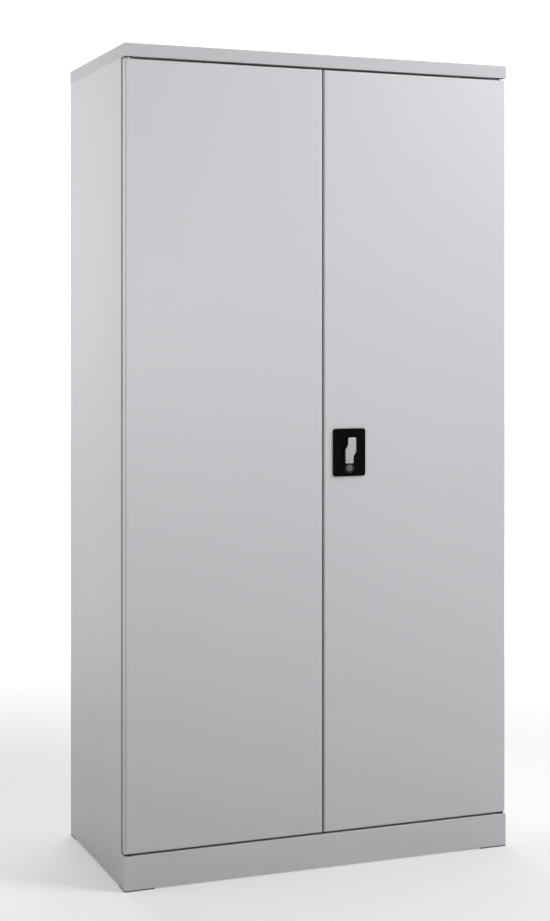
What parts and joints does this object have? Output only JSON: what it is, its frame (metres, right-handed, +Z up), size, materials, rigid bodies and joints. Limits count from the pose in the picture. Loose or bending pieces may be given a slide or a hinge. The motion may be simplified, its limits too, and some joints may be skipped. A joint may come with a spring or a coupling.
{
  "type": "steel storage cupboard",
  "caption": "Tall sheet-steel storage cupboard with a pair of hinged doors, a turn handle with lock rods and adjustable shelves.",
  "frame": {"origin": "on the floor, under the middle of the bounding box, which reaches from the lever to the back screws' heads", "axes": "+X to the right as seen from the front, +Y from the doors to the back, +Z up"},
  "size_m": [0.915, 0.4644, 1.8],
  "materials": {
    "painted_steel": "light grey powder coat, fine orange peel, satin",
    "zinc_steel": "bright zinc plate, slightly uneven",
    "black_plastic": "black moulded, fine grain",
    "satin_chrome": "satin plated die casting",
    "black_chrome": "dark plated die casting",
    "nylon": "black nylon",
    "buffer_rubber": "matt rubber",
    "glide_plastic": "dark grey moulded",
    "ferrite": "ground ceramic magnet"
  },
  "bodies": {
    "case": {"top_cap": "painted_steel", "left_side_panel": "painted_steel", "right_side_panel": "painted_steel", "left_back_panel": "painted_steel", "right_back_panel": "painted_steel", "back_joint_strip": "painted_steel", "back_panel_screws": "zinc_steel", "plinth": "painted_steel", "floor_pan": "painted_steel", "base_screws": "zinc_steel", "header_rail": "painted_steel", "header_screws": "zinc_steel", "front_left_upright": "zinc_steel", "front_right_upright": "zinc_steel", "rear_left_upright": "zinc_steel", "rear_right_upright": "zinc_steel", "shelf_clips": "zinc_steel", "floor_glides": "glide_plastic", "top_pivot_bushes": "nylon", "bottom_pivot_bushes": "nylon", "door_buffers": "buffer_rubber", "magnet_cups": "zinc_steel", "door_magnets": "ferrite", "rod_grommets": "nylon", "shelf_1": "painted_steel", "shelf_2": "painted_steel", "shelf_3": "painted_steel", "shelf_4": "painted_steel", "shelf_channel_1": "painted_steel", "shelf_channel_2": "painted_steel", "shelf_channel_3": "painted_steel", "shelf_channel_4": "painted_steel"},
    "left_door": {"left_door_skin": "painted_steel", "left_door_stiffener": "painted_steel", "left_pivot_plates": "painted_steel", "left_pivot_pins": "zinc_steel"},
    "right_door": {"right_door_skin": "painted_steel", "right_door_stiffener": "painted_steel", "right_pivot_plates": "painted_steel", "right_pivot_pins": "zinc_steel", "handle_plate": "black_plastic", "handle_backing_plate": "zinc_steel", "handle_plate_screws": "zinc_steel", "rod_guides": "zinc_steel", "lock_barrel": "black_chrome", "lock_nut": "zinc_steel"},
    "lever": {"turn_lever": "satin_chrome", "lever_spindle": "zinc_steel", "crank_disc": "zinc_steel", "crank_pins": "zinc_steel", "crank_screw": "zinc_steel"},
    "upper_rod": {"upper_lock_rod": "zinc_steel"},
    "lower_rod": {"lower_lock_rod": "zinc_steel"},
    "lock": {"lock_plug": "satin_chrome", "lock_cam": "zinc_steel", "cam_screw": "zinc_steel"}
  },
  "joints": [
    {"name": "left_door_hinge", "type": "hinge", "parent": "case", "child": "left_door", "pos_m": [-0.4455, -0.2102, 0.923], "axis": [0, 0, -1], "range_deg": [0, 180]},
    {"name": "right_door_hinge", "type": "hinge", "parent": "case", "child": "right_door", "pos_m": [0.4455, -0.2102, 0.923], "axis": [0, 0, 1], "range_deg": [0, 180]},
    {"name": "lever_turn", "type": "hinge", "parent": "right_door", "child": "lever", "pos_m": [0.0615, -0.2232, 0.9235], "axis": [0, -1, 0], "range_deg": [0, 90]},
    {"name": "upper_rod_slide", "type": "slide", "parent": "right_door", "child": "upper_rod", "axis": [0, 0, 1], "range_m": [0, 0.02546]},
    {"name": "lower_rod_slide", "type": "slide", "parent": "right_door", "child": "lower_rod", "axis": [0, 0, -1], "range_m": [0, 0.02546]},
    {"name": "lock_turn", "type": "hinge", "parent": "right_door", "child": "lock", "pos_m": [0.0615, -0.2232, 0.8845], "axis": [0, 1, 0], "range_deg": [0, 90]}
  ],
  "couplings": [
    {"joint": "lever_turn", "follows": "upper_rod_slide", "rad_per_m": 61.706},
    {"joint": "lower_rod_slide", "follows": "upper_rod_slide", "ratio": 1}
  ]
}
